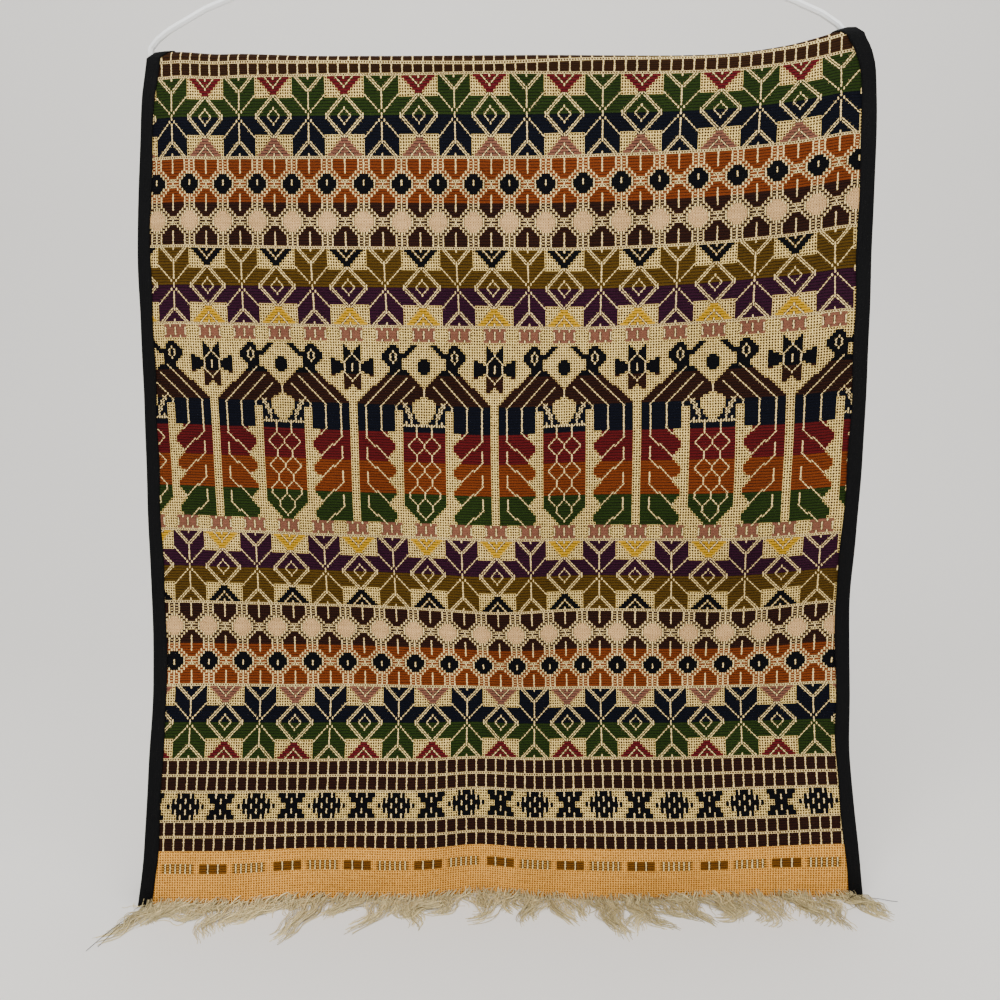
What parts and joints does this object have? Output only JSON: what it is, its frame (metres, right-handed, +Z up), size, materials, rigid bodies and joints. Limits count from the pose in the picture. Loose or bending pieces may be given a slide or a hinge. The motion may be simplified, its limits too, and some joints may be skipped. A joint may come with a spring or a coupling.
{
  "type": "woven wall hanging on wire clothes hanger",
  "caption": "Long brocaded cloth runner with taped edges and fringed hems, folded in half over the bottom bar of a coated wire clothes hanger.",
  "frame": {"origin": "the point inside the top of the hanger's hook where it bears on a rail", "axes": "+Z up, +X to the right as the cloth is looked at, the front of the cloth faces -Y"},
  "size_m": [0.449, 0.1516, 0.7059],
  "materials": {
    "cloth": "thick hand-woven cotton with raised brocade in bands",
    "tape": "black ribbed tape, sewn on",
    "fringe": "undyed twisted cotton warp ends",
    "coated_wire": "smooth white coating over steel wire"
  },
  "bodies": {
    "root": {"cloth": "cloth", "binding_left": "tape", "binding_right": "tape", "fringe_front": "fringe", "fringe_back": "fringe", "hanger": "coated_wire"}
  },
  "joints": []
}
